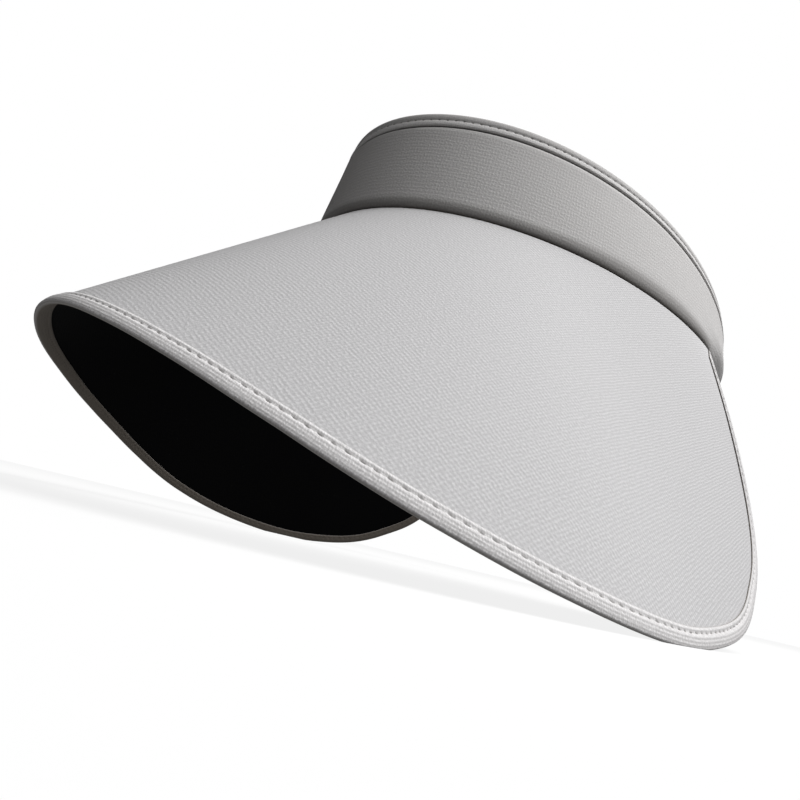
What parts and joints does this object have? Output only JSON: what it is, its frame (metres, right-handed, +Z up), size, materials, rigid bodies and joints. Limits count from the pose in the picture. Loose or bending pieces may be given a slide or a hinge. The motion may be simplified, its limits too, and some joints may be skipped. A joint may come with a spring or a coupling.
{
  "type": "wide brim sun visor",
  "caption": "Wide-brim open-crown sun visor: a curved cloth brim with a dark lining and a bound edge, sewn to a padded headband with a strap at the nape.",
  "frame": {"origin": "on the floor, under the middle of the bounding box", "axes": "+Z up with the visor standing on the side edges of its brim, the brim's front towards -Y, the wearer's left on +X"},
  "size_m": [0.2752, 0.2986, 0.1717],
  "materials": {
    "brim_cloth": "matte woven",
    "lining_cloth": "matte black woven",
    "binding_tape": "ribbed tape",
    "band_cloth": "smooth knit",
    "band_tape": "folded knit",
    "elastic": "ribbed elastic"
  },
  "bodies": {
    "root": {"brim_cover": "brim_cloth", "brim_lining": "lining_cloth", "brim_binding": "binding_tape", "headband": "band_cloth", "top_tape": "band_tape", "back_strap": "elastic"}
  },
  "joints": []
}
